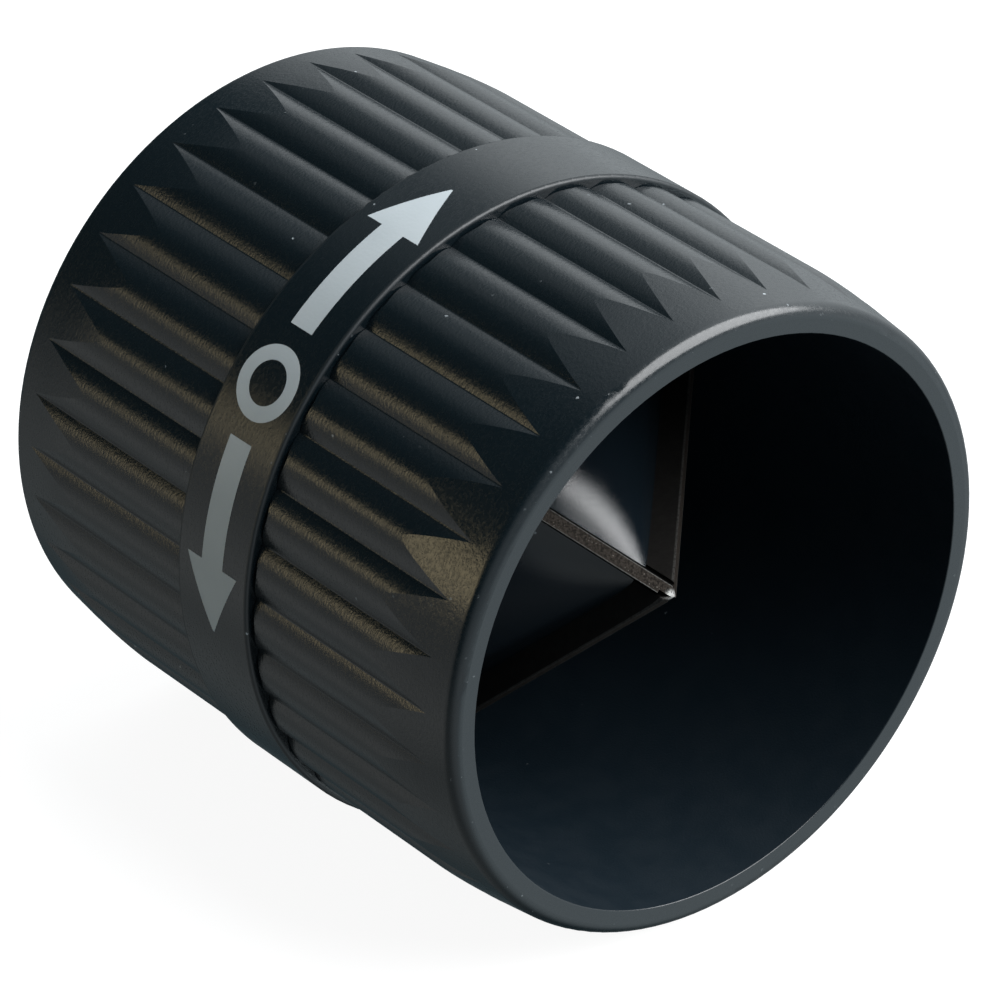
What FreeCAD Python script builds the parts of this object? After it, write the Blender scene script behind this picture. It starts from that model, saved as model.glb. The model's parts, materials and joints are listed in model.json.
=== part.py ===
"""Inner and outer pipe deburring tool, lying on its side.

The tool's axis runs along X, with the inside-deburring mouth at +X and the outside-deburring mouth at -X.
The origin is under the middle of the tool, on the surface that it lies on, and +Z is up.
Azimuths are measured about +X, from +Y towards +Z.
Two ribbed shells hold a two-part core, which clamps three straight blades between the two mouths.
All lengths are in millimetres and all angles in degrees.
"""

import FreeCAD, Part
import math
import os
import Sketcher

DIMENSIONS = {
    # shells
    "tool_length": 69.0,
    "bore_radius": 30.0,
    "band_radius": 34.4,
    "band_front": 5.5,
    "band_width": 10.8,
    "band_round": 0.35,
    "crest_radius": 33.8,
    "valley_radius": 33.1,
    "crease_fill": 0.03,
    "rib_count": 36,
    "rib_azimuth": 21.2,
    "rib_run_in": 0.7,
    "nose_length": 12.6,
    "nose_taper": 7.1,
    "nose_radius": 32.7,
    "nose_clearance": 0.02,
    "overcut": 0.5,
    "rim_round": 1.35,
    "mouth_round": 0.12,
    "fit_gap": 0.05,
    "spigot_radius": 32.0,
    "spigot_length": 15.0,
    "snap_height": 0.3,
    "snap_width": 1.6,
    "snap_from_end": 4.3,
    # core
    "core_rim_width": 6.0,
    "core_split": 6.5,
    "core_clearance": 0.1,
    "slot_clearance": 0.02,
    "slot_gap": 0.15,
    # blades
    "blade_azimuth": 16.5,
    "blade_tip_depth": 6.8,
    "blade_width": 15.7,
    "blade_thickness": 1.3,
    "blade_behind": 0.78,
    "blade_reach": 29.7,
    "blade_proud_front": 2.7,
    "blade_proud_rear": 2.5,
    "lap_length": 1.1,
    "lap_thickness": 0.95,
    # blade pins
    "pin_radius": 1.25,
    "pin_length": 9.0,
    "pin_chamfer": 0.25,
    "pin_station": 17.0,
    # core screws
    "screw_station": 16.0,
    "screw_radius": 1.5,
    "screw_length": 8.7,
    "screw_hole_length": 9.0,
    "screw_point_length": 0.6,
    "screw_point_radius": 0.9,
    "screw_head_radius": 2.75,
    "screw_crown_radius": 1.9,
    "screw_head_height": 1.9,
    "screw_drive_radius": 1.1,
    "screw_drive_depth": 1.2,
    "counterbore_radius": 3.0,
    "counterbore_depth": 12.8,
}

BLADE_COUNT = 3
DRIVE_SIDES = 6
CONE_SLOPE = "sqrt(2)"

doc = FreeCAD.newDocument("deburring_tool")
sheet = doc.addObject("Spreadsheet::Sheet", "dims")


class Size:
    """A length, angle or count that knows both its value and the expression that gives it."""

    def __init__(self, value, text):
        self.value = value
        self.text = text

    def __add__(self, other):
        other = as_size(other)
        return Size(self.value + other.value, f"({self.text} + {other.text})")

    def __sub__(self, other):
        other = as_size(other)
        return Size(self.value - other.value, f"({self.text} - {other.text})")

    def __mul__(self, other):
        other = as_size(other)
        return Size(self.value * other.value, f"({self.text} * {other.text})")

    def __truediv__(self, other):
        other = as_size(other)
        return Size(self.value / other.value, f"({self.text} / {other.text})")

    def __neg__(self):
        return Size(-self.value, f"(-1 * {self.text})")


def as_size(number):
    if isinstance(number, Size):
        return number
    return Size(float(number), repr(float(number)))


def cell(alias):
    return Size(DIMENSIONS[alias], f"dims.{alias}")


def sine(angle):
    return Size(math.sin(math.radians(angle.value)), f"sin({angle.text} * 1deg)")


def cosine(angle):
    return Size(math.cos(math.radians(angle.value)), f"cos({angle.text} * 1deg)")


def fill_sheet():
    for row, (alias, value) in enumerate(DIMENSIONS.items(), start=1):
        sheet.set(f"A{row}", alias)
        sheet.set(f"B{row}", str(value))
        sheet.setAlias(f"B{row}", alias)
    doc.recompute()


# ---------------------------------------------------------------- sketch and feature helpers


def plane(body, role):
    return next(item for item in body.Origin.OriginFeatures if item.Role == role)


def new_body(label):
    body = doc.addObject("PartDesign::Body", label)
    body.Label = label
    return body


def new_sketch(body, name, role, offset=None):
    """A sketch on one of the body's own planes, moved along the plane's normal by offset."""
    sketch = body.newObject("Sketcher::SketchObject", name)
    sketch.AttachmentSupport = [(plane(body, role), "")]
    sketch.MapMode = "FlatFace"
    if offset is not None:
        sketch.setExpression(".AttachmentOffset.Base.z", offset.text)
    return sketch


def constrain(sketch, kind, args, size):
    index = sketch.addConstraint(Sketcher.Constraint(kind, *args, size.value))
    sketch.setExpression(f"Constraints[{index}]", size.text)


def fix_point(sketch, geometry, end, point):
    """Holds one end of a piece of geometry at a point given as a pair of sizes."""
    for kind, size in zip(("DistanceX", "DistanceY"), point):
        if size.value == 0.0:
            on_axis = -2 if kind == "DistanceX" else -1
            sketch.addConstraint(Sketcher.Constraint("PointOnObject", geometry, end, on_axis))
        else:
            constrain(sketch, kind, (-1, 1, geometry, end), size)


def add_outline(sketch, points):
    """A closed outline of straight lines through points given as pairs of sizes."""
    corners = [FreeCAD.Vector(x.value, y.value, 0) for x, y in points]
    count = len(corners)
    first = sketch.GeometryCount
    for i in range(count):
        sketch.addGeometry(Part.LineSegment(corners[i], corners[(i + 1) % count]), False)
    for i in range(count):
        following = first + (i + 1) % count
        sketch.addConstraint(Sketcher.Constraint("Coincident", first + i, 2, following, 1))
        fix_point(sketch, first + i, 1, points[i])


def add_circle(sketch, centre, radius):
    middle = FreeCAD.Vector(centre[0].value, centre[1].value, 0)
    circle = Part.Circle(middle, FreeCAD.Vector(0, 0, 1), radius.value)
    index = sketch.addGeometry(circle, False)
    fix_point(sketch, index, 3, centre)
    constrain(sketch, "Radius", (index,), radius)


def revolve(body, name, points):
    """Turns an outline, drawn as (x, radius) pairs, about the tool's axis."""
    sketch = new_sketch(body, name + "_outline", "XY_Plane")
    add_outline(sketch, points)
    feature = body.newObject("PartDesign::Revolution", name)
    feature.Profile = sketch
    feature.ReferenceAxis = (sketch, ["H_Axis"])
    feature.Angle = 360.0
    doc.recompute()
    return feature


def groove(body, name, sketch):
    """Cuts a sketched outline away all round the tool's axis."""
    before = body.Shape.Volume
    feature = body.newObject("PartDesign::Groove", name)
    feature.Profile = sketch
    feature.ReferenceAxis = (sketch, ["H_Axis"])
    feature.Angle = 360.0
    doc.recompute()
    check_cut(body, name, before)
    return feature


def pad(body, name, sketch, length, backwards=False):
    feature = body.newObject("PartDesign::Pad", name)
    feature.Profile = sketch
    feature.Reversed = backwards
    feature.setExpression("Length", length.text)
    doc.recompute()
    return feature


def pocket_through(body, name, sketch):
    """Cuts a sketched outline right through the body, both ways from its plane."""
    before = body.Shape.Volume
    feature = body.newObject("PartDesign::Pocket", name)
    feature.Profile = sketch
    feature.Type = "ThroughAll"
    feature.Midplane = True
    doc.recompute()
    check_cut(body, name, before)
    return feature


def pocket(body, name, sketch, depth, forwards):
    """Cuts a sketched outline to a depth, forwards being along the normal of its plane."""
    before = body.Shape.Volume
    feature = body.newObject("PartDesign::Pocket", name)
    feature.Profile = sketch
    feature.Reversed = forwards
    feature.setExpression("Length", depth.text)
    doc.recompute()
    check_cut(body, name, before)
    return feature


def check_cut(body, name, volume_before):
    if body.Shape.Volume >= volume_before:
        raise RuntimeError(f"{body.Label}: {name} cuts nothing")


def repeat_round(body, name, feature, count):
    """Repeats a feature evenly about the tool's axis."""
    pattern = body.newObject("PartDesign::PolarPattern", name)
    pattern.Originals = [feature]
    pattern.Axis = (plane(body, "X_Axis"), [""])
    pattern.Angle = 360.0
    pattern.setExpression("Occurrences", count.text)
    body.Tip = pattern
    doc.recompute()
    return pattern


def round_edges(body, name, wanted, radius):
    """Rounds each circular edge about the tool's axis that has a wanted (x, radius)."""
    base = body.Tip
    names = []
    for number, edge in enumerate(base.Shape.Edges, start=1):
        if not isinstance(edge.Curve, Part.Circle):
            continue
        centre = edge.Curve.Center
        for x, r in wanted:
            off = abs(centre.x - x.value) + abs(edge.Curve.Radius - r.value)
            if off < 0.01 and abs(centre.y) + abs(centre.z) < 0.01:
                names.append(f"Edge{number}")
    if len(names) < len(wanted):
        raise RuntimeError(f"{body.Label}: {name} finds only {len(names)} edges")
    fillet = body.newObject("PartDesign::Fillet", name)
    fillet.Base = (base, names)
    fillet.setExpression("Radius", radius.text)
    body.Tip = fillet
    doc.recompute()
    return fillet


def place(item, azimuth=None):
    """Lifts a sub-part to the tool's axis and turns it about that axis."""
    item.setExpression(".Placement.Base.z", cell("band_radius").text)
    if azimuth is not None:
        item.Placement.Rotation = FreeCAD.Rotation(FreeCAD.Vector(1, 0, 0), azimuth.value)
        item.setExpression(".Placement.Rotation.Angle", azimuth.text)


# ---------------------------------------------------------------- places along the axis

ZERO = as_size(0)


def along_cone(apex, radius):
    """The x at which a 45 degree cone that opens towards -X has a radius."""
    return apex - radius


fill_sheet()
front_rim = cell("tool_length") / 2
rear_rim = -front_rim
band_rear = cell("band_front") - cell("band_width")
spigot_end = cell("band_front") - cell("spigot_length")
core_rim_rear = spigot_end - cell("core_rim_width")
base_radius = cell("valley_radius") + cell("crease_fill")
outer_limit = cell("band_radius") + 2

ROOT_TWO = Size(math.sqrt(2), CONE_SLOPE)
inner_edge_apex = front_rim - cell("blade_tip_depth")
outer_edge_apex = inner_edge_apex - cell("blade_width") * ROOT_TWO
cone_apex = inner_edge_apex - cell("blade_proud_front") * ROOT_TWO
funnel_apex = outer_edge_apex + cell("blade_proud_rear") * ROOT_TWO
split_apex = cone_apex - cell("core_split")
blade_middle = cell("blade_thickness") / 2 - cell("blade_behind")
screw_seat = funnel_apex - cell("counterbore_depth")


# ---------------------------------------------------------------- shells


def add_ribs(body, start, length, towards_rear):
    """One rib with a rounded crest, repeated so that neighbours meet in sharp creases."""
    half_pitch = Size(180.0 / cell("rib_count").value, f"(180 / {cell('rib_count').text})")
    valley_y = cell("valley_radius") * cosine(half_pitch)
    valley_z = cell("valley_radius") * sine(half_pitch)
    rise = cell("crest_radius") - valley_y
    crown = (valley_z * valley_z + rise * rise) / (rise * 2)
    centre_y = cell("crest_radius") - crown
    half_angle = math.asin(valley_z.value / crown.value)

    sketch = new_sketch(body, "rib_section", "YZ_Plane", start)
    circle = Part.Circle(FreeCAD.Vector(centre_y.value, 0, 0), FreeCAD.Vector(0, 0, 1), crown.value)
    sketch.addGeometry(Part.ArcOfCircle(circle, -half_angle, half_angle), False)
    low = FreeCAD.Vector(valley_y.value, -valley_z.value, 0)
    high = FreeCAD.Vector(valley_y.value, valley_z.value, 0)
    sketch.addGeometry(Part.LineSegment(high, low), False)
    sketch.addConstraint(Sketcher.Constraint("Coincident", 0, 2, 1, 1))
    sketch.addConstraint(Sketcher.Constraint("Coincident", 0, 1, 1, 2))
    fix_point(sketch, 1, 1, (valley_y, valley_z))
    fix_point(sketch, 1, 2, (valley_y, -valley_z))
    constrain(sketch, "Radius", (0,), crown)
    rib = pad(body, "rib", sketch, length, towards_rear)
    return repeat_round(body, "ribs", rib, cell("rib_count"))


def add_arc_outline(sketch, centre, radius, angles, corners):
    """A closed outline of one arc, between two angles, and the straight sides that join its ends.

    corners runs from the arc's first end to its last.
    """
    middle = FreeCAD.Vector(centre[0].value, centre[1].value, 0)
    circle = Part.Circle(middle, FreeCAD.Vector(0, 0, 1), radius.value)
    low, high = (math.radians(angle) for angle in angles)
    arc = sketch.addGeometry(Part.ArcOfCircle(circle, low, high), False)
    first = sketch.GeometryCount
    for near, far in zip(corners, corners[1:]):
        a = FreeCAD.Vector(near[0].value, near[1].value, 0)
        b = FreeCAD.Vector(far[0].value, far[1].value, 0)
        sketch.addGeometry(Part.LineSegment(a, b), False)
    last = sketch.GeometryCount - 1
    sketch.addConstraint(Sketcher.Constraint("Coincident", arc, 1, first, 1))
    for i in range(first, last):
        sketch.addConstraint(Sketcher.Constraint("Coincident", i, 2, i + 1, 1))
    sketch.addConstraint(Sketcher.Constraint("Coincident", last, 2, arc, 2))
    for i, corner in enumerate(corners[:-1]):
        fix_point(sketch, first + i, 1, corner)
    fix_point(sketch, last, 2, corners[-1])
    constrain(sketch, "Radius", (arc,), radius)


def trim_nose(body, rim, inward):
    """Bends the ribs' crests down into a taper towards a rim. inward is the sign of X on the tool's side of it."""
    taper = cell("nose_taper")
    slope = sine(taper) / cosine(taper)
    top = cell("crest_radius") + cell("nose_clearance")
    drop = cell("nose_radius") + cell("nose_length") * slope - top
    bend = drop * cosine(taper) / (as_size(1) - cosine(taper))
    start = rim + cell("nose_length") * inward
    bend_end = start - bend * sine(taper) * inward
    outside = rim - cell("overcut") * inward
    corners = [
        (start, top),
        (start, outer_limit),
        (outside, outer_limit),
        (outside, cell("nose_radius") - cell("overcut") * slope),
        (bend_end, top - bend + bend * cosine(taper)),
    ]
    angles = (90, 90 + taper.value)
    if inward < 0:
        corners.reverse()
        angles = (90 - taper.value, 90)
    sketch = new_sketch(body, "nose_outline", "XY_Plane")
    add_arc_outline(sketch, (start, top - bend), bend, angles, corners)
    groove(body, "nose", sketch)


def round_rib_ends(body):
    """Rounds the ends of the front ribs down to the creases where they meet the band."""
    start = cell("band_front") + cell("fit_gap")
    run_in = cell("rib_run_in")
    corners = [
        (start + run_in, base_radius + run_in),
        (start + run_in, outer_limit),
        (start - cell("overcut"), outer_limit),
        (start - cell("overcut"), base_radius),
        (start, base_radius),
    ]
    sketch = new_sketch(body, "rib_end_outline", "XY_Plane")
    add_arc_outline(sketch, (start + run_in, base_radius), run_in, (90, 180), corners)
    groove(body, "rib_ends", sketch)


def make_front_shell():
    body = new_body("front_shell")
    start = cell("band_front") + cell("fit_gap")
    snap = spigot_end + cell("snap_from_end")
    spigot = cell("spigot_radius")
    revolve(
        body,
        "wall",
        [
            (front_rim, cell("bore_radius")),
            (front_rim, base_radius),
            (start, base_radius),
            (start, spigot),
            (snap, spigot),
            (snap - cell("snap_width") / 4, spigot + cell("snap_height")),
            (snap - cell("snap_width") / 2, spigot + cell("snap_height")),
            (snap - cell("snap_width"), spigot),
            (spigot_end, spigot),
            (spigot_end, cell("bore_radius")),
        ],
    )
    add_ribs(body, start, front_rim - start - cell("overcut"), False)
    trim_nose(body, front_rim, -1)
    round_rib_ends(body)
    round_edges(body, "rim_round", [(front_rim, cell("nose_radius"))], cell("rim_round"))
    round_edges(body, "mouth_round", [(front_rim, cell("bore_radius"))], cell("mouth_round"))
    place(body, cell("rib_azimuth"))
    return body


def make_rear_shell():
    body = new_body("rear_shell")
    socket = cell("spigot_radius") + cell("fit_gap")
    snap = spigot_end + cell("snap_from_end")
    revolve(
        body,
        "wall",
        [
            (cell("band_front"), socket),
            (cell("band_front"), cell("band_radius")),
            (band_rear, cell("band_radius")),
            (band_rear, base_radius),
            (rear_rim, base_radius),
            (rear_rim, cell("bore_radius")),
            (core_rim_rear, cell("bore_radius")),
            (core_rim_rear, socket),
            (snap - cell("snap_width"), socket),
            (snap - cell("snap_width") / 2, socket + cell("snap_height")),
            (snap - cell("snap_width") / 4, socket + cell("snap_height")),
            (snap, socket),
        ],
    )
    add_ribs(body, band_rear, band_rear - rear_rim - cell("overcut"), True)
    trim_nose(body, rear_rim, 1)
    round_edges(body, "rim_round", [(rear_rim, cell("nose_radius"))], cell("rim_round"))
    round_edges(body, "mouth_round", [(rear_rim, cell("bore_radius"))], cell("mouth_round"))
    edges = [(cell("band_front"), cell("band_radius")), (band_rear, cell("band_radius"))]
    round_edges(body, "band_round", edges, cell("band_round"))
    place(body, cell("rib_azimuth"))
    return body


# ---------------------------------------------------------------- core


def cut_blade_slots(body):
    """Three slots that meet at the axis, each a little wider than the blade in it."""
    gap = cell("slot_gap")
    low = -(cell("blade_behind") + gap)
    high = cell("blade_thickness") - cell("blade_behind") + gap
    reach = cell("blade_reach") + cell("core_clearance")
    sketch = new_sketch(body, "slot_outline", "YZ_Plane")
    add_outline(sketch, [(ZERO, low), (reach, low), (reach, high), (ZERO, high)])
    slot = pocket_through(body, "slot", sketch)
    repeat_round(body, "slots", slot, as_size(BLADE_COUNT))


def cut_pin_channels(body):
    """A round channel across each slot, half of it in each part of the core."""
    station = cell("pin_station")
    room = cell("pin_length") + cell("core_clearance")
    sketch = new_sketch(body, "pin_channel_outline", "XY_Plane", blade_middle - room / 2)
    add_circle(sketch, (split_apex - station, station), cell("pin_radius") + cell("slot_clearance"))
    channel = pocket(body, "pin_channel", sketch, room, True)
    repeat_round(body, "pin_channels", channel, as_size(BLADE_COUNT))


def screw_centre():
    """The screws stand half way between the blades."""
    half_way = as_size(180.0 / BLADE_COUNT)
    return (cell("screw_station") * cosine(half_way), cell("screw_station") * sine(half_way))


def make_front_cone():
    body = new_body("front_cone")
    inside = cell("bore_radius") - cell("core_clearance")
    rim = cell("spigot_radius") - cell("fit_gap")
    rim_front = spigot_end - cell("fit_gap")
    rim_rear = spigot_end - cell("core_rim_width") / 2
    revolve(
        body,
        "cone",
        [
            (cone_apex, ZERO),
            (along_cone(cone_apex, inside), inside),
            (rim_front, inside),
            (rim_front, rim),
            (rim_rear, rim),
            (rim_rear, split_apex - rim_rear),
            (split_apex, ZERO),
        ],
    )
    cut_blade_slots(body)
    cut_pin_channels(body)
    sketch = new_sketch(body, "screw_hole_outline", "YZ_Plane", screw_seat)
    add_circle(sketch, screw_centre(), cell("screw_radius"))
    hole = pocket(body, "screw_hole", sketch, cell("screw_hole_length"), True)
    repeat_round(body, "screw_holes", hole, as_size(BLADE_COUNT))
    place(body, cell("blade_azimuth"))
    return body


def make_rear_funnel():
    body = new_body("rear_funnel")
    inside = cell("bore_radius") - cell("core_clearance")
    rim = cell("spigot_radius") - cell("fit_gap")
    rim_front = spigot_end - cell("core_rim_width") / 2 - cell("fit_gap")
    rim_rear = core_rim_rear + cell("fit_gap")
    top = split_apex - cell("fit_gap")
    revolve(
        body,
        "funnel",
        [
            (top, ZERO),
            (rim_front, top - rim_front),
            (rim_front, rim),
            (rim_rear, rim),
            (rim_rear, inside),
            (along_cone(funnel_apex, inside), inside),
            (funnel_apex, ZERO),
        ],
    )
    cut_blade_slots(body)
    cut_pin_channels(body)
    hole_sketch = new_sketch(body, "screw_hole_outline", "YZ_Plane")
    add_circle(hole_sketch, screw_centre(), cell("screw_radius") + cell("core_clearance"))
    hole = pocket_through(body, "screw_hole", hole_sketch)
    repeat_round(body, "screw_holes", hole, as_size(BLADE_COUNT))
    bore_sketch = new_sketch(body, "counterbore_outline", "YZ_Plane", screw_seat)
    add_circle(bore_sketch, screw_centre(), cell("counterbore_radius"))
    counterbore = pocket(body, "counterbore", bore_sketch, cell("bore_radius"), False)
    repeat_round(body, "counterbores", counterbore, as_size(BLADE_COUNT))
    place(body, cell("blade_azimuth"))
    return body


# ---------------------------------------------------------------- blades


def blade_azimuth(index):
    return cell("blade_azimuth") + 360.0 / BLADE_COUNT * index


def make_blade(index):
    """A straight bar with two ground edges, half lapped at its tip so that three of them meet."""
    body = new_body(f"blade_{index + 1}")
    reach = cell("blade_reach")
    low = -cell("blade_behind")
    side = new_sketch(body, "side_outline", "XY_Plane", low)
    add_outline(
        side,
        [
            (inner_edge_apex, ZERO),
            (along_cone(inner_edge_apex, reach), reach),
            (along_cone(outer_edge_apex, reach), reach),
            (outer_edge_apex, ZERO),
        ],
    )
    pad(body, "bar", side, cell("blade_thickness"))

    steep = Size(math.tan(math.radians(60)), "tan(60deg)")
    margin = cell("overcut")
    below = low - margin
    above = cell("blade_thickness") + margin
    tongue = cell("lap_thickness") - cell("blade_behind")
    tip = new_sketch(body, "tip_outline", "YZ_Plane")
    add_outline(
        tip,
        [
            (ZERO, ZERO),
            (tongue / steep, tongue),
            (cell("lap_length"), tongue),
            (cell("lap_length"), above),
            (-margin, above),
            (-margin, below),
            (-(below / steep), below),
        ],
    )
    pocket_through(body, "tip_lap", tip)

    station = cell("pin_station")
    hole = new_sketch(body, "pin_hole_outline", "XY_Plane")
    add_circle(hole, (split_apex - station, station), cell("pin_radius") + cell("slot_clearance"))
    pocket_through(body, "pin_hole", hole)
    place(body, blade_azimuth(index))
    return body


# ---------------------------------------------------------------- pins and screws


def turned(value_pairs):
    """A solid turned about Z from (radius, z) pairs that start and end on the axis."""
    points = [FreeCAD.Vector(r.value, 0, z.value) for r, z in value_pairs]
    points.append(points[0])
    face = Part.Face(Part.makePolygon(points))
    return face.revolve(FreeCAD.Vector(0, 0, 0), FreeCAD.Vector(0, 0, 1), 360)


def group_round(label, solid, azimuths):
    """A node of identical solids, one at each azimuth about the tool's axis."""
    axis = FreeCAD.Vector(1, 0, 0)
    copies = []
    for azimuth in azimuths:
        copy = solid.copy()
        copy.rotate(FreeCAD.Vector(0, 0, 0), axis, azimuth)
        copies.append(copy)
    item = doc.addObject("Part::Feature", label)
    item.Label = label
    item.Shape = Part.makeCompound(copies)
    place(item)
    return item


def make_blade_pins():
    """A pin across each blade, lying between the two parts of the core."""
    radius = cell("pin_radius")
    length = cell("pin_length")
    chamfer = cell("pin_chamfer")
    pin = turned(
        [
            (ZERO, ZERO),
            (radius - chamfer, ZERO),
            (radius, chamfer),
            (radius, length - chamfer),
            (radius - chamfer, length),
            (ZERO, length),
        ]
    )
    station = cell("pin_station")
    start = blade_middle - length / 2
    pin.translate(FreeCAD.Vector((split_apex - station).value, station.value, start.value))
    return group_round("blade_pins", pin, [blade_azimuth(i).value for i in range(BLADE_COUNT)])


def make_core_screws():
    """Pan head screws with a hexagon drive, put in from the rear mouth."""
    head = cell("screw_head_radius")
    height = cell("screw_head_height")
    shank = cell("screw_radius") - cell("slot_clearance")
    length = cell("screw_length")
    screw = turned(
        [
            (ZERO, -height),
            (cell("screw_crown_radius"), -height),
            (head, -(height / 2)),
            (head, ZERO),
            (shank, ZERO),
            (shank, length - cell("screw_point_length")),
            (cell("screw_point_radius"), length),
            (ZERO, length),
        ]
    )
    reach = cell("screw_drive_radius").value
    corners = []
    for i in range(DRIVE_SIDES + 1):
        turn = math.radians(360.0 / DRIVE_SIDES * i)
        corners.append(FreeCAD.Vector(reach * math.cos(turn), reach * math.sin(turn), -height.value))
    drive = Part.Face(Part.makePolygon(corners)).extrude(
        FreeCAD.Vector(0, 0, cell("screw_drive_depth").value)
    )
    screw = screw.cut(drive)
    screw.rotate(FreeCAD.Vector(0, 0, 0), FreeCAD.Vector(0, 1, 0), 90)
    y, z = screw_centre()
    screw.translate(FreeCAD.Vector((screw_seat - cell("slot_clearance")).value, y.value, z.value))
    return group_round("core_screws", screw, [blade_azimuth(i).value for i in range(BLADE_COUNT)])


# ---------------------------------------------------------------- build, check and write


def check(parts):
    for item in doc.Objects:
        if "Invalid" in item.State or "Error" in item.State:
            raise RuntimeError(f"{item.Name} failed: {item.State}")
    for part in parts:
        if part.Shape.isNull() or not part.Shape.isValid():
            raise RuntimeError(f"{part.Label} has no valid shape")


def write(parts):
    os.makedirs("parts", exist_ok=True)
    for part in parts:
        part.Shape.exportStep(f"parts/{part.Label}.step")
        print(part.Label, len(part.Shape.Solids), "solids", round(part.Shape.Volume, 1), "mm3")


def main():
    parts = [make_front_shell(), make_rear_shell(), make_front_cone(), make_rear_funnel()]
    parts += [make_blade(i) for i in range(BLADE_COUNT)]
    parts += [make_blade_pins(), make_core_screws()]
    doc.recompute()
    check(parts)
    write(parts)


main()
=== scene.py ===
"""Looks for the pipe deburring tool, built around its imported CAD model.

The tool lies on its side on a pale floor. Lengths are in metres in the CAD model's frame: X runs along the
tool's axis, out of the inside-deburring mouth, and Z is up. Azimuths round the tool are measured about +X,
from +Y.
"""

import json
import math

import bmesh
import bpy
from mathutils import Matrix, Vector


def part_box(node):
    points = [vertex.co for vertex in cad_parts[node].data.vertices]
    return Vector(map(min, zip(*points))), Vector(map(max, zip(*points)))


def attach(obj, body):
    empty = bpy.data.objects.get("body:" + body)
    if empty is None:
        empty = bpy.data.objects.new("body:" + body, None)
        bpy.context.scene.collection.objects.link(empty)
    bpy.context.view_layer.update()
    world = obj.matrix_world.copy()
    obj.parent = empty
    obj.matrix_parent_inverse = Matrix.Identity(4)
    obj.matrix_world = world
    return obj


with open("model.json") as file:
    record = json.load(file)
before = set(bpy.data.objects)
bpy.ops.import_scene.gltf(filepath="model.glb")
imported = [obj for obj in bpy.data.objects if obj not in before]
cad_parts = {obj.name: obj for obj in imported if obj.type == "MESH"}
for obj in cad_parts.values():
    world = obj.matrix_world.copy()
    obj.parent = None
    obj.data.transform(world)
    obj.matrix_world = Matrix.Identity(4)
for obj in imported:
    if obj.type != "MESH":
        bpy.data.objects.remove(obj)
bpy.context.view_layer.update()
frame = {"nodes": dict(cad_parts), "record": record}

MM = 0.001
NODES = frame["nodes"]
MOUNTS = {mount["name"]: mount for mount in frame["record"]["mounts"]}

shell_low, shell_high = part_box("rear_shell")
AXIS_HEIGHT = (shell_low.z + shell_high.z) / 2
BAND_RADIUS = (shell_high.z - shell_low.z) / 2
BAND_MIDDLE = MOUNTS["band"]["pos_m"][0]
BAND_HALF_WIDTH = 5.4 * MM
BAND_ROUND = 0.35 * MM
FRONT_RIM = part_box("front_shell")[1].x
BORE_RADIUS = 30.0 * MM

# Each blade's ground edges lie where x + radius is that of the edge's apex on the axis.
BLADE_REACH = 29.7 * MM
BLADE_THICKNESS = 1.3 * MM
BLADE_BEHIND = 0.78 * MM
BLADE_AZIMUTH = math.radians(16.5)
blade_low, blade_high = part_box("blade_1")
INNER_EDGE_APEX = blade_high.x
OUTER_EDGE_APEX = blade_low.x + BLADE_REACH


# ---------------------------------------------------------------- node helpers


def typed(sockets, kind):
    """Those of a Mix node's sockets that carry one kind of value."""
    return [socket for socket in sockets if socket.type == kind]


class Graph:
    """A short way to write a node tree."""

    def __init__(self, tree):
        self.tree = tree

    def add(self, kind, **settings):
        node = self.tree.nodes.new(kind)
        for key, value in settings.items():
            setattr(node, key, value)
        return node

    def link(self, source, target):
        self.tree.links.new(source, target)

    def put(self, socket, value):
        """Links a socket, or sets a constant on one. A constant colour is (r, g, b)."""
        if isinstance(value, bpy.types.NodeSocket):
            self.link(value, socket)
        elif socket.type == "RGBA":
            socket.default_value = (*value, 1.0)
        else:
            socket.default_value = value

    def ramp(self, value, low, high, out_low=0.0, out_high=1.0):
        """Maps low..high to out_low..out_high, smoothly and clamped."""
        node = self.add("ShaderNodeMapRange", interpolation_type="SMOOTHSTEP")
        self.put(node.inputs["Value"], value)
        node.inputs["From Min"].default_value = low
        node.inputs["From Max"].default_value = high
        node.inputs["To Min"].default_value = out_low
        node.inputs["To Max"].default_value = out_high
        return node.outputs["Result"]

    def mix(self, factor, a, b, kind="RGBA"):
        """Mixes two colours, or two vectors."""
        node = self.add("ShaderNodeMix", data_type=kind)
        self.put(node.inputs["Factor"], factor)
        first, second = typed(node.inputs, kind)[-2:]
        self.put(first, a)
        self.put(second, b)
        return typed(node.outputs, kind)[0]

    def vector(self, operation, a, b=(0.0, 0.0, 0.0), output="Vector"):
        node = self.add("ShaderNodeVectorMath", operation=operation)
        self.put(node.inputs[0], a)
        self.put(node.inputs[1], b)
        return node.outputs[output]

    def split(self, vector):
        """The x, y and z of a vector."""
        node = self.add("ShaderNodeSeparateXYZ")
        self.link(vector, node.inputs[0])
        return node.outputs

    def join(self, x, y, z):
        node = self.add("ShaderNodeCombineXYZ")
        for socket, value in zip(node.inputs, (x, y, z)):
            self.link(value, socket)
        return node.outputs[0]


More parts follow.
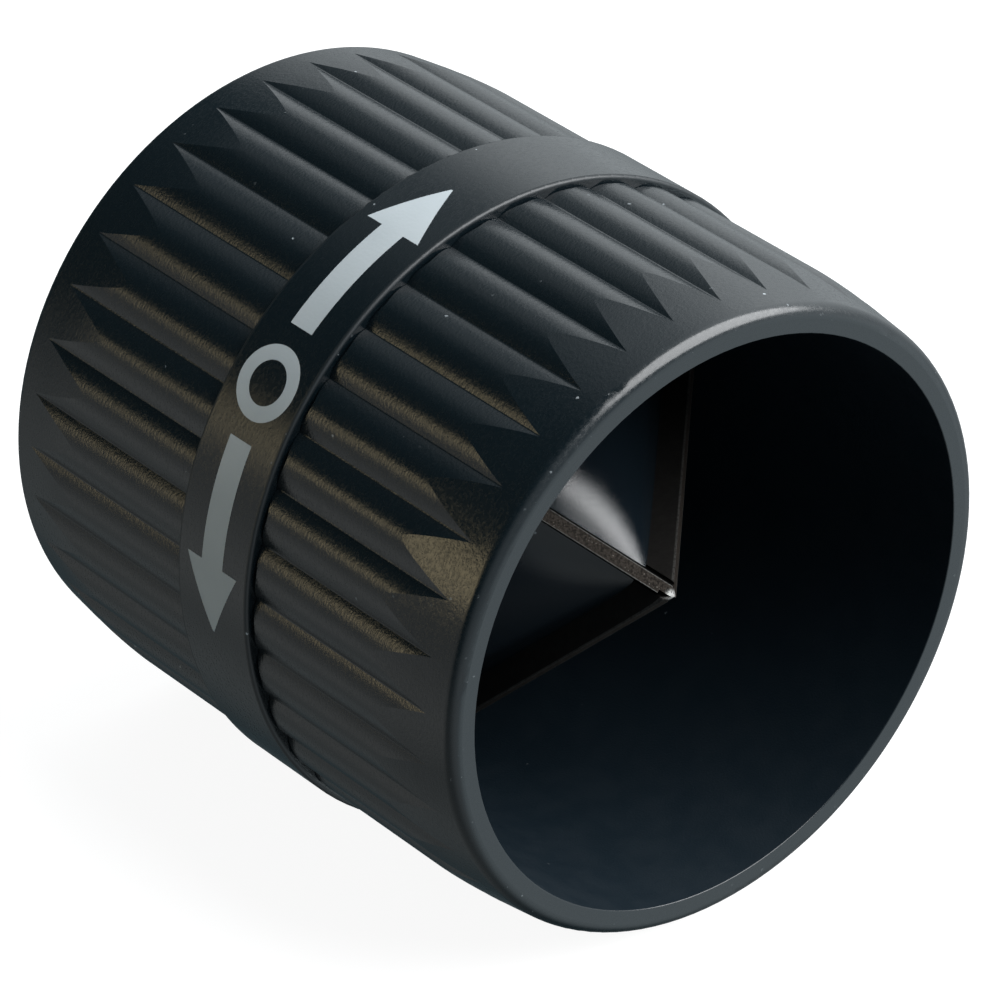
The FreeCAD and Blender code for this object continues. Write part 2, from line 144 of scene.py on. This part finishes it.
class Finish(Graph):
    """A material's node tree, which ends in one Principled shader."""

    def __init__(self, name):
        self.material = bpy.data.materials.new(name)
        self.material.use_nodes = True
        super().__init__(self.material.node_tree)
        self.tree.nodes.clear()
        self.shader = self.add("ShaderNodeBsdfPrincipled")
        output = self.add("ShaderNodeOutputMaterial")
        self.link(self.shader.outputs[0], output.inputs["Surface"])
        self.place = self.add("ShaderNodeTexCoord").outputs["Object"]

    def shade(self, colour, roughness, normal):
        """Links the shader's colour, roughness and normal."""
        self.link(colour, self.shader.inputs["Base Color"])
        self.link(roughness, self.shader.inputs["Roughness"])
        self.link(normal, self.shader.inputs["Normal"])

    def noise(self, size, detail=2.0, roughness=0.5, place=None):
        """Noise whose features are about size metres across, from 0 to 1."""
        node = self.add("ShaderNodeTexNoise")
        self.link(place or self.place, node.inputs["Vector"])
        node.inputs["Scale"].default_value = 1.0 / size
        node.inputs["Detail"].default_value = detail
        node.inputs["Roughness"].default_value = roughness
        return node.outputs["Fac"]

    def cells(self, size):
        """Rounded cells of about size metres, as the distance from their middles."""
        node = self.add("ShaderNodeTexVoronoi", feature="SMOOTH_F1")
        self.link(self.place, node.inputs["Vector"])
        node.inputs["Scale"].default_value = 1.0 / size
        return node.outputs["Distance"]

    def maths(self, operation, a, b=0.0):
        node = self.add("ShaderNodeMath", operation=operation)
        self.put(node.inputs[0], a)
        self.put(node.inputs[1], b)
        return node.outputs[0]

    def bump(self, height, depth, strength=1.0, normal=None):
        """A bump of depth metres for a height from 0 to 1."""
        node = self.add("ShaderNodeBump")
        self.put(node.inputs["Strength"], strength)
        node.inputs["Distance"].default_value = depth
        self.link(height, node.inputs["Height"])
        if normal is not None:
            self.link(normal, node.inputs["Normal"])
        return node.outputs["Normal"]

    def parts(self):
        """The x and y of the point being shaded, and its height above the tool's axis."""
        x, y, z = self.split(self.place)
        return x, y, self.maths("SUBTRACT", z, AXIS_HEIGHT)

    def axial(self):
        """The x and the distance from the tool's axis of the point being shaded."""
        x, y, height = self.parts()
        squares = self.maths("ADD", self.maths("POWER", y, 2.0), self.maths("POWER", height, 2.0))
        return x, self.maths("SQRT", squares)

    def across_blade(self, radius):
        """The distance of the point being shaded from the middle of the blade that it is on."""
        _, y, height = self.parts()
        azimuth = self.maths("ARCTAN2", height, y)
        turn = self.add("ShaderNodeMath", operation="WRAP")
        self.link(self.maths("SUBTRACT", azimuth, BLADE_AZIMUTH), turn.inputs[0])
        turn.inputs[1].default_value = math.pi / 3
        turn.inputs[2].default_value = -math.pi / 3
        offset = self.maths("MULTIPLY", radius, self.maths("SINE", turn.outputs[0]))
        middle = BLADE_BEHIND - BLADE_THICKNESS / 2
        return self.maths("ABSOLUTE", self.maths("ADD", offset, middle))

    def band_normal(self, x, radius, band):
        """The normal of the point being shaded. Where band is 1, that of the band with its rounded edges."""
        aside = self.maths("SUBTRACT", x, BAND_MIDDLE)
        past = self.maths("SUBTRACT", self.maths("ABSOLUTE", aside), BAND_HALF_WIDTH - BAND_ROUND)
        along = self.maths("MULTIPLY", self.maths("MAXIMUM", past, 0.0), self.maths("SIGN", aside))
        out = self.maths("MAXIMUM", self.maths("SUBTRACT", radius, BAND_RADIUS - BAND_ROUND), 0.0)
        share = self.maths("DIVIDE", out, radius)
        _, y, height = self.parts()
        rounded = self.join(along, self.maths("MULTIPLY", y, share), self.maths("MULTIPLY", height, share))
        turned = self.add("ShaderNodeVectorTransform", vector_type="NORMAL")
        turned.convert_from = "OBJECT"
        turned.convert_to = "WORLD"
        self.link(rounded, turned.inputs[0])
        unit = self.vector("NORMALIZE", turned.outputs[0])
        plain = self.add("ShaderNodeNewGeometry").outputs["Normal"]
        return self.mix(band, plain, unit, "VECTOR")

    def unrolled(self, stretch):
        """x, arc length round the tool and radius, for marks that are stretch times longer round the tool.

        The arc lengths' ends meet at azimuth 315.
        """
        _, y, height = self.parts()
        back = self.maths("SUBTRACT", self.maths("MULTIPLY", y, -1.0), height)
        angle = self.maths("ARCTAN2", back, self.maths("SUBTRACT", height, y))
        x, radius = self.axial()
        return self.join(x, self.maths("MULTIPLY", angle, BAND_RADIUS / stretch), radius)

    def jittered(self, size, reach):
        """The object's coordinates pushed about by reach metres, for marks with ragged edges."""
        push = self.add("ShaderNodeTexNoise")
        self.link(self.place, push.inputs["Vector"])
        push.inputs["Scale"].default_value = 1.0 / size
        centred = self.vector("SUBTRACT", push.outputs["Color"], (0.5, 0.5, 0.5))
        scaled = self.vector("MULTIPLY", centred, (reach, reach, reach))
        return self.vector("ADD", self.place, scaled)


# ---------------------------------------------------------------- materials

DUST = (0.30, 0.33, 0.35)
SPECK_JITTER_SIZE = 0.25 * MM
SPECK_JITTER_REACH = 0.35 * MM


def specks(nodes, spacing, radius, share):
    """Sparse ragged specks, from 0 to 1.

    spacing and radius are in metres, and share is how many of them show.
    """
    node = nodes.add("ShaderNodeTexVoronoi")
    nodes.link(nodes.jittered(SPECK_JITTER_SIZE, SPECK_JITTER_REACH), node.inputs["Vector"])
    node.inputs["Scale"].default_value = 1.0 / spacing
    near = nodes.ramp(node.outputs["Distance"], 1.15 * radius / spacing, 0.6 * radius / spacing)
    chance = nodes.add("ShaderNodeSeparateColor")
    nodes.link(node.outputs["Color"], chance.inputs[0])
    shown = nodes.ramp(chance.outputs["Red"], share, share * 0.6)
    return nodes.maths("MULTIPLY", near, nodes.maths("MULTIPLY", shown, chance.outputs["Green"]))


def shell_plastic():
    """Dark blue-black moulded plastic with a fine grain drawn out round the tool, dust and worn rims."""
    nodes = Finish("shell_plastic")
    x, radius = nodes.axial()
    cloud = nodes.noise(14 * MM, 3.0)
    colour = nodes.mix(cloud, (0.0020, 0.0044, 0.0062), (0.0031, 0.0062, 0.0083))
    dusty = specks(nodes, 2.4 * MM, 0.15 * MM, 0.4)
    colour = nodes.mix(dusty, colour, DUST)

    rim = nodes.ramp(nodes.maths("ABSOLUTE", x), FRONT_RIM - 1.6 * MM, FRONT_RIM - 0.9 * MM)
    corner = nodes.maths("MULTIPLY", rim, nodes.ramp(radius, BORE_RADIUS + 1.2 * MM, BORE_RADIUS + 1.7 * MM))
    nicks = nodes.ramp(nodes.noise(0.55 * MM, 4.0, 0.65, nodes.unrolled(1.6)), 0.68, 0.75)
    worn = nodes.maths("MULTIPLY", corner, nicks)
    colour = nodes.mix(nodes.maths("MULTIPLY", worn, 0.6), colour, (0.16, 0.18, 0.19))

    band = nodes.ramp(radius, BAND_RADIUS - 0.5 * MM, BAND_RADIUS - 0.4 * MM)
    band_flat = BAND_HALF_WIDTH - BAND_ROUND
    from_middle = nodes.maths("ABSOLUTE", nodes.maths("SUBTRACT", x, BAND_MIDDLE))
    band_edge = nodes.maths("MULTIPLY", band, nodes.ramp(from_middle, band_flat - 0.2 * MM, band_flat))

    # The grain is full on the ribs, fainter on the band and faintest on rounded edges.
    drawn = nodes.noise(0.25 * MM, 2.0, 0.6, nodes.unrolled(2.0))
    fine = nodes.noise(0.16 * MM, 1.0)
    height = nodes.maths("ADD", nodes.maths("MULTIPLY", drawn, 0.75), nodes.maths("MULTIPLY", fine, 0.25))
    edges = nodes.ramp(nodes.maths("MAXIMUM", rim, band_edge), 0.0, 1.0, 1.0, 0.10)
    grain = nodes.maths("MULTIPLY", nodes.ramp(band, 0.0, 1.0, 1.0, 0.5), edges)
    normal = nodes.bump(height, 0.034 * MM, grain, nodes.band_normal(x, radius, band))
    normal = nodes.bump(worn, 0.03 * MM, 0.4, normal)

    roughness = nodes.ramp(height, 0.38, 0.62, 0.17, 0.29)
    roughness = nodes.maths("MAXIMUM", roughness, nodes.maths("MULTIPLY", band_edge, 0.46))
    nodes.shade(colour, roughness, normal)
    nodes.shader.inputs["IOR"].default_value = 1.5
    return nodes.material


def bore_plastic():
    """The shells' plastic inside the mouths, where the mould leaves it matt. Its colour is a lighter, bluer
    copy of the shell plastic's: painted light inside the mouths.
    """
    nodes = Finish("bore_plastic")
    # Painted light: this colour is lighter and bluer than the shell plastic's.
    colour = nodes.mix(nodes.noise(12 * MM, 3.0), (0.0026, 0.0062, 0.0096), (0.0034, 0.0076, 0.0114))
    dusty = specks(nodes, 3.0 * MM, 0.15 * MM, 0.3)
    colour = nodes.mix(dusty, colour, (0.12, 0.13, 0.14))
    roughness = nodes.ramp(nodes.noise(3 * MM, 3.0), 0.3, 0.7, 0.48, 0.56)
    nodes.shade(colour, roughness, nodes.bump(nodes.noise(0.22 * MM, 2.0), 0.02 * MM))
    nodes.shader.inputs["Specular IOR Level"].default_value = 0.22
    return nodes.material


def core_plastic():
    """Glossier moulding of the core, with a fine grain and a few pale specks."""
    nodes = Finish("core_plastic")
    colour = nodes.mix(nodes.noise(9 * MM, 2.0), (0.0034, 0.0056, 0.0080), (0.0046, 0.0078, 0.0106))
    dusty = specks(nodes, 2.2 * MM, 0.14 * MM, 0.4)
    colour = nodes.mix(dusty, colour, DUST)
    fine = nodes.noise(0.20 * MM, 2.0, 0.6, nodes.unrolled(1.4))
    roughness = nodes.ramp(nodes.noise(2 * MM, 3.0), 0.3, 0.7, 0.08, 0.12)
    nodes.shade(colour, roughness, nodes.bump(fine, 0.013 * MM))
    return nodes.material


def blade_steel():
    """Hardened dark steel with pitted ground cutting lands, and painted highlights along their cutting
    corners and at their point.
    """
    nodes = Finish("blade_steel")
    x, radius = nodes.axial()
    cone = nodes.maths("ADD", x, radius)
    land_start = 0.16 * MM
    land_full = 0.08 * MM
    front_land = nodes.ramp(cone, INNER_EDGE_APEX - land_start, INNER_EDGE_APEX - land_full)
    rear_land = nodes.ramp(cone, OUTER_EDGE_APEX + land_start, OUTER_EDGE_APEX + land_full)
    land = nodes.maths("MAXIMUM", front_land, rear_land)

    mottle = nodes.noise(0.9 * MM, 4.0, 0.6)
    dark = nodes.mix(mottle, (0.020, 0.019, 0.018), (0.048, 0.044, 0.041))
    pitted = nodes.noise(0.22 * MM, 3.0, 0.7)
    ground = nodes.mix(nodes.ramp(pitted, 0.35, 0.65), (0.014, 0.011, 0.009), (0.062, 0.050, 0.041))
    sparkle = nodes.ramp(nodes.noise(0.14 * MM, 1.0), 0.70, 0.78)
    ground = nodes.mix(sparkle, ground, (0.40, 0.36, 0.32))

    # The worn mask and the bright colours below are painted highlights: pale lines along the cutting corners
    # and a near-white spot at the blades' point, broken up by the pitting.
    face = BLADE_THICKNESS / 2
    corner = nodes.ramp(nodes.across_blade(radius), face - 0.10 * MM, face - 0.03 * MM)
    near_edge = nodes.ramp(cone, INNER_EDGE_APEX - 0.30 * MM, INNER_EDGE_APEX - 0.14 * MM)
    near_edge = nodes.maths("MULTIPLY", corner, near_edge)
    tip = nodes.maths("MULTIPLY", land, nodes.ramp(radius, 0.80 * MM, 0.40 * MM))
    glint_breakup = nodes.ramp(pitted, 0.38, 0.52, 0.35, 1.0)
    worn = nodes.maths("MULTIPLY", nodes.maths("MAXIMUM", near_edge, tip), glint_breakup)
    bright = nodes.mix(tip, (0.17, 0.165, 0.155), (0.75, 0.73, 0.70))
    steel = nodes.mix(worn, nodes.mix(land, dark, ground), bright)
    nodes.shade(steel, nodes.ramp(land, 0.0, 1.0, 0.50, 0.44), nodes.bump(pitted, 0.03 * MM, 0.8))
    nodes.shader.inputs["Metallic"].default_value = 0.8
    return nodes.material


def plated_steel():
    """Zinc plated steel of the screws and pins."""
    nodes = Finish("plated_steel")
    patchy = nodes.noise(0.8 * MM, 3.0)
    colour = nodes.mix(patchy, (0.42, 0.42, 0.43), (0.58, 0.58, 0.60))
    roughness = nodes.ramp(patchy, 0.3, 0.7, 0.28, 0.42)
    nodes.shade(colour, roughness, nodes.bump(nodes.noise(0.1 * MM, 2.0), 0.01 * MM, 0.4))
    nodes.shader.inputs["Metallic"].default_value = 1.0
    return nodes.material


def pale_ink():
    """Pad-printed pale grey ink with small worn gaps."""
    nodes = Finish("pale_ink")
    worn = nodes.ramp(nodes.noise(0.7 * MM, 5.0, 0.7), 0.70, 0.76)
    colour = nodes.mix(nodes.noise(5 * MM, 2.0), (0.29, 0.325, 0.345), (0.36, 0.395, 0.415))
    colour = nodes.mix(worn, colour, (0.03, 0.035, 0.04))
    roughness = nodes.ramp(worn, 0.0, 1.0, 0.5, 0.4)
    nodes.shade(colour, roughness, nodes.bump(nodes.cells(0.3 * MM), 0.02 * MM, 0.4))
    return nodes.material


def floor_paint():
    """Plain pale floor that keeps its shadows light."""
    nodes = Finish("floor_paint")
    nodes.shader.inputs["Base Color"].default_value = (0.2, 0.2, 0.2, 1.0)
    nodes.shader.inputs["Roughness"].default_value = 1.0
    nodes.shader.inputs["Specular IOR Level"].default_value = 0.0
    nodes.shader.inputs["Emission Color"].default_value = (1.0, 1.0, 1.0, 1.0)
    nodes.shader.inputs["Emission Strength"].default_value = 0.92
    return nodes.material


def dress(node, material, inside=None):
    """Gives a node its material, and its faces within the bore another one."""
    mesh = NODES[node].data
    mesh.materials.clear()
    mesh.materials.append(material)
    if inside is None:
        return
    mesh.materials.append(inside)
    bore_limit = BORE_RADIUS + 0.01 * MM
    for face in mesh.polygons:
        out = math.hypot(face.center.y, face.center.z - AXIS_HEIGHT)
        face.material_index = 1 if out < bore_limit else 0


# ---------------------------------------------------------------- print on the band

PRINT_LIFT = 0.025 * MM
PRINT_AZIMUTH = math.radians(142)
RING_OUTER = 3.9 * MM
RING_INNER = 2.3 * MM
BAR_START = 6.0 * MM
BAR_LENGTH = 13.0 * MM
BAR_WIDTH = 3.2 * MM
HEAD_LENGTH = 7.5 * MM
HEAD_WIDTH = 7.6 * MM
HEAD_BLUNTNESS = 0.03
WELD_DISTANCE = 1e-6


def on_band(along, across):
    """A point on the band's print.

    along is the arc length from +Y over the top, and across the offset along X.
    """
    azimuth = along / BAND_RADIUS
    reach = BAND_RADIUS + PRINT_LIFT
    height = AXIS_HEIGHT + reach * math.sin(azimuth)
    return Vector((BAND_MIDDLE + across, reach * math.cos(azimuth), height))


def add_patch(mesh, outline, columns, rows):
    """Adds a grid of faces. outline maps (u, v), each 0 to 1, to (along, across)."""
    grid = []
    for i in range(columns + 1):
        column = [mesh.verts.new(on_band(*outline(i / columns, j / rows))) for j in range(rows + 1)]
        grid.append(column)
    for i in range(columns):
        for j in range(rows):
            corners = (grid[i][j], grid[i + 1][j], grid[i + 1][j + 1], grid[i][j + 1])
            mesh.faces.new(corners)


def add_bar(mesh, start, length, width):
    add_patch(mesh, lambda u, v: (start + u * length, (v - 0.5) * width), 24, 4)


def add_head(mesh, base, length, width):
    """An arrow head that narrows from its base to a blunt point. A negative length points the other way."""
    def outline(u, v):
        narrowing = 1 - u * (1 - HEAD_BLUNTNESS)
        return base + u * length, (v - 0.5) * width * narrowing

    add_patch(mesh, outline, 24, 6)


def add_ring(mesh, centre, outer, inner):
    def outline(u, v):
        turn = 2 * math.pi * u
        reach = inner + (outer - inner) * v
        return centre + reach * math.cos(turn), reach * math.sin(turn)

    add_patch(mesh, outline, 64, 3)


def make_band_print():
    """A pipe end between two arrows, for turning the tool either way."""
    middle = PRINT_AZIMUTH * BAND_RADIUS
    mesh = bmesh.new()
    add_ring(mesh, middle, RING_OUTER, RING_INNER)
    for side in (-1, 1):
        add_bar(mesh, middle + side * BAR_START, side * BAR_LENGTH, BAR_WIDTH)
        add_head(mesh, middle + side * (BAR_START + BAR_LENGTH), side * HEAD_LENGTH, HEAD_WIDTH)
    bmesh.ops.remove_doubles(mesh, verts=mesh.verts, dist=WELD_DISTANCE)
    bmesh.ops.recalc_face_normals(mesh, faces=mesh.faces)
    data = bpy.data.meshes.new("band_print")
    mesh.to_mesh(data)
    mesh.free()
    piece = bpy.data.objects.new("band_print", data)
    bpy.context.scene.collection.objects.link(piece)
    data.materials.append(pale_ink())
    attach(piece, "root")


# ---------------------------------------------------------------- floor, lights and camera

FLOOR_HALF_SIDE = 3.0
WHITE = (1.0, 1.0, 1.0)


def make_floor():
    half = FLOOR_HALF_SIDE
    data = bpy.data.meshes.new("floor")
    corners = [(-half, -half, 0), (half, -half, 0), (half, half, 0), (-half, half, 0)]
    data.from_pydata(corners, [], [(0, 1, 2, 3)])
    floor = bpy.data.objects.new("floor", data)
    bpy.context.scene.collection.objects.link(floor)
    data.materials.append(floor_paint())
    floor.visible_diffuse = False
    floor.visible_glossy = False
    floor.visible_shadow = False


class Sky(Graph):
    """The studio surroundings, as a brightness for each direction."""

    def __init__(self, world):
        world.use_nodes = True
        super().__init__(world.node_tree)
        self.background = self.tree.nodes["Background"]
        self.direction = self.add("ShaderNodeTexCoord").outputs["Generated"]
        self.total = None

    def card(self, towards, inner, outer):
        """A round card in a direction, full within inner degrees of it and gone beyond outer degrees."""
        facing = self.vector("DOT_PRODUCT", self.direction, Vector(towards).normalized(), "Value")
        return self.ramp(facing, math.cos(math.radians(outer)), math.cos(math.radians(inner)))

    def light(self, colour, *shares):
        """Adds a colour times each of its shares to the surroundings."""
        part = colour
        for share in shares:
            part = self.vector("MULTIPLY", share, part)
        self.total = part if self.total is None else self.vector("ADD", part, self.total)


def make_world():
    """A white studio to the camera.

    To the tool, it is a paper sweep behind, a bright floor in front, dim sides and a warm card at the
    front left.
    """
    world = bpy.data.worlds.new("studio")
    sky = Sky(world)
    x, y, z = sky.split(sky.direction)

    room = (0.040, 0.062, 0.072)
    sky.light(room)

    sweep = sky.ramp(y, 0.30, 0.85)
    low_sweep = (0.86, 0.90, 0.92)
    high_sweep = (1.06, 1.10, 1.12)
    sky.light(low_sweep, sweep, sky.ramp(z, -0.35, 0.0, 0.45, 1.0))
    sky.light(high_sweep, sweep, sky.ramp(z, 0.0, 0.55))

    ceiling = (1.20, 1.26, 1.29)
    sky.light(ceiling, sky.ramp(y, -0.35, 0.6), sky.ramp(z, 0.5, 0.98))

    front_wall = (0.46, 0.50, 0.52)
    sky.light(front_wall, sky.ramp(x, 0.2, 0.95))

    front_floor = (0.20, 0.20, 0.195)
    right_floor = (0.50, 0.58, 0.61)
    sky.light(front_floor, sky.ramp(z, 0.0, -0.5), sky.ramp(y, 0.25, -0.3))
    sky.light(right_floor, sky.ramp(z, 0.05, -0.25), sky.ramp(y, -0.2, 0.35), sky.ramp(x, 0.0, 0.6))

    low_card = (0.30, 0.30, 0.295)
    sky.light(low_card, sky.card((-0.55, -0.80, -0.20), 14, 34))

    warm_card = (3.1, 2.55, 1.50)
    strip = sky.vector("MULTIPLY", sky.ramp(z, 0.08, 0.15), sky.ramp(z, 0.35, 0.29))
    sky.light(warm_card, strip, sky.card((-0.47, -0.850, 0.235), 5, 19))

    seen = sky.add("ShaderNodeLightPath").outputs["Is Camera Ray"]
    sky.link(sky.mix(seen, sky.total, WHITE), sky.background.inputs["Color"])
    bpy.context.scene.world = world


def add_softbox(name, direction, distance, size, power, colour, aim):
    """A round area light that faces its aim from a direction."""
    data = bpy.data.lights.new(name, "AREA")
    data.shape = "DISK"
    data.size = size
    data.energy = power
    data.color = colour
    light = bpy.data.objects.new(name, data)
    bpy.context.scene.collection.objects.link(light)
    away = Vector(direction).normalized()
    light.location = aim + away * distance
    light.rotation_euler = away.to_track_quat("Z", "Y").to_euler()


CAMERA_AZIMUTH = math.radians(50.650)
CAMERA_ELEVATION = math.radians(31.318)
CAMERA_DISTANCE = 589.9 * MM
CAMERA_LENS = 224.35
SENSOR_WIDTH = 36.0
NEAREST_SEEN = 10 * MM
AIM_LEFT_OF_MOUTH = 20.90 * MM
AIM_ABOVE_MOUTH = 11.95 * MM


def make_camera():
    """Looks past the mouth from the front and above, with a long lens and no tilt.

    CAMERA_LENS and SENSOR_WIDTH are in millimetres, as Blender takes them.
    """
    level = Vector((math.sin(CAMERA_AZIMUTH), -math.cos(CAMERA_AZIMUTH), 0))
    back = level * math.cos(CAMERA_ELEVATION) + Vector((0, 0, math.sin(CAMERA_ELEVATION)))
    right = Vector((math.cos(CAMERA_AZIMUTH), math.sin(CAMERA_AZIMUTH), 0))
    up = back.cross(right)
    mouth = Vector((FRONT_RIM, 0, AXIS_HEIGHT))
    aim = mouth - right * AIM_LEFT_OF_MOUTH + up * AIM_ABOVE_MOUTH
    data = bpy.data.cameras.new("camera")
    data.lens = CAMERA_LENS
    data.sensor_width = SENSOR_WIDTH
    data.clip_start = NEAREST_SEEN
    camera = bpy.data.objects.new("camera", data)
    bpy.context.scene.collection.objects.link(camera)
    camera.location = aim + back * CAMERA_DISTANCE
    camera.rotation_euler = back.to_track_quat("Z", "Y").to_euler()
    bpy.context.scene.camera = camera


shell_material = shell_plastic()
bore_material = bore_plastic()
core_material = core_plastic()
steel_material = blade_steel()
plated_material = plated_steel()
for name in ("front_shell", "rear_shell"):
    dress(name, shell_material, bore_material)
for name in ("front_cone", "rear_funnel"):
    dress(name, core_material)
for name in ("blade_1", "blade_2", "blade_3"):
    dress(name, steel_material)
for name in ("blade_pins", "core_screws"):
    dress(name, plated_material)
make_band_print()

make_floor()
make_world()
add_softbox(
    "key",
    direction=(0.52, 0.45, 0.72),
    distance=1.2,
    size=1.45,
    power=42.0,
    colour=(0.98, 0.99, 1.0),
    aim=Vector((0, 0, AXIS_HEIGHT)),
)
make_camera()
bpy.context.scene.view_settings.view_transform = "Standard"
